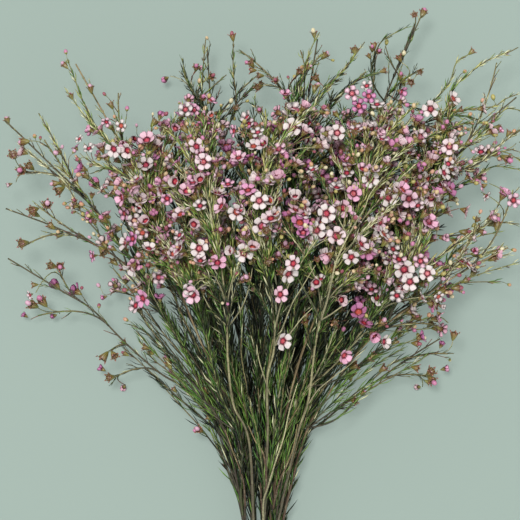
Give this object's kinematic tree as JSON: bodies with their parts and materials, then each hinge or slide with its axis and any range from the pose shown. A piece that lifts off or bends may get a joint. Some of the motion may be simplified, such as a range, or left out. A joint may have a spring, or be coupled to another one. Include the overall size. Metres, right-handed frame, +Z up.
{
  "type": "waxflower bunch",
  "caption": "Cut bunch of flowering waxflower stems lying down: thin woody stems tied with a rubber band fan out into needle-leaved sprays of small round-petalled flowers.",
  "frame": {"origin": "middle of the bunch's footprint, on the surface that it lies on", "axes": "+Y from the cut stem ends to the leafy tips, +Z up from the surface, +X to the right seen from above"},
  "size_m": [0.389, 0.484, 0.1565],
  "materials": {
    "bark": "matte",
    "twig": "matte",
    "needle": "satin",
    "petal": "satin",
    "cup": "satin",
    "bud": "satin",
    "rubber_band": "matte"
  },
  "bodies": {
    "root": {"stem_centre": "bark", "stem_centre_left": "bark", "stem_left": "bark", "stem_low_left": "bark", "stem_under_left": "bark", "stem_under_right": "bark", "stem_low_right": "bark", "stem_right": "bark", "stem_centre_right": "bark", "stem_upper_right": "bark", "stem_upper_left": "bark", "stem_far_left": "bark", "stem_top_centre": "bark", "stem_far_right": "bark", "stem_mid_right": "bark", "spray_centre_1": "petal", "spray_centre_2": "petal", "spray_centre_3": "petal", "spray_centre_left_1": "petal", "spray_centre_left_2": "petal", "spray_centre_left_3": "petal", "spray_left_1": "petal", "spray_left_2": "petal", "spray_low_left_1": "petal", "spray_low_left_2": "petal", "spray_low_left_3": "petal", "spray_low_left_4": "petal", "spray_under_left_1": "petal", "spray_under_left_2": "petal", "spray_under_right_1": "petal", "spray_under_right_2": "petal", "spray_under_right_3": "petal", "spray_low_right_1": "petal", "spray_low_right_2": "petal", "spray_right_1": "twig", "spray_right_2": "petal", "spray_right_3": "petal", "spray_centre_right_1": "petal", "spray_centre_right_2": "petal", "spray_centre_right_3": "petal", "spray_upper_right_1": "petal", "spray_upper_right_2": "petal", "spray_upper_left_1": "petal", "spray_upper_left_2": "petal", "spray_upper_left_3": "petal", "spray_upper_left_4": "petal", "spray_far_left_1": "petal", "spray_far_left_2": "petal", "spray_far_left_3": "petal", "spray_top_centre_1": "twig", "spray_top_centre_2": "petal", "spray_top_centre_3": "petal", "spray_far_right_1": "petal", "spray_far_right_2": "petal", "spray_far_right_3": "petal", "spray_far_right_4": "twig", "spray_mid_right_1": "petal", "spray_mid_right_2": "petal", "spray_mid_right_3": "petal", "tie_band": "rubber_band"}
  },
  "joints": []
}
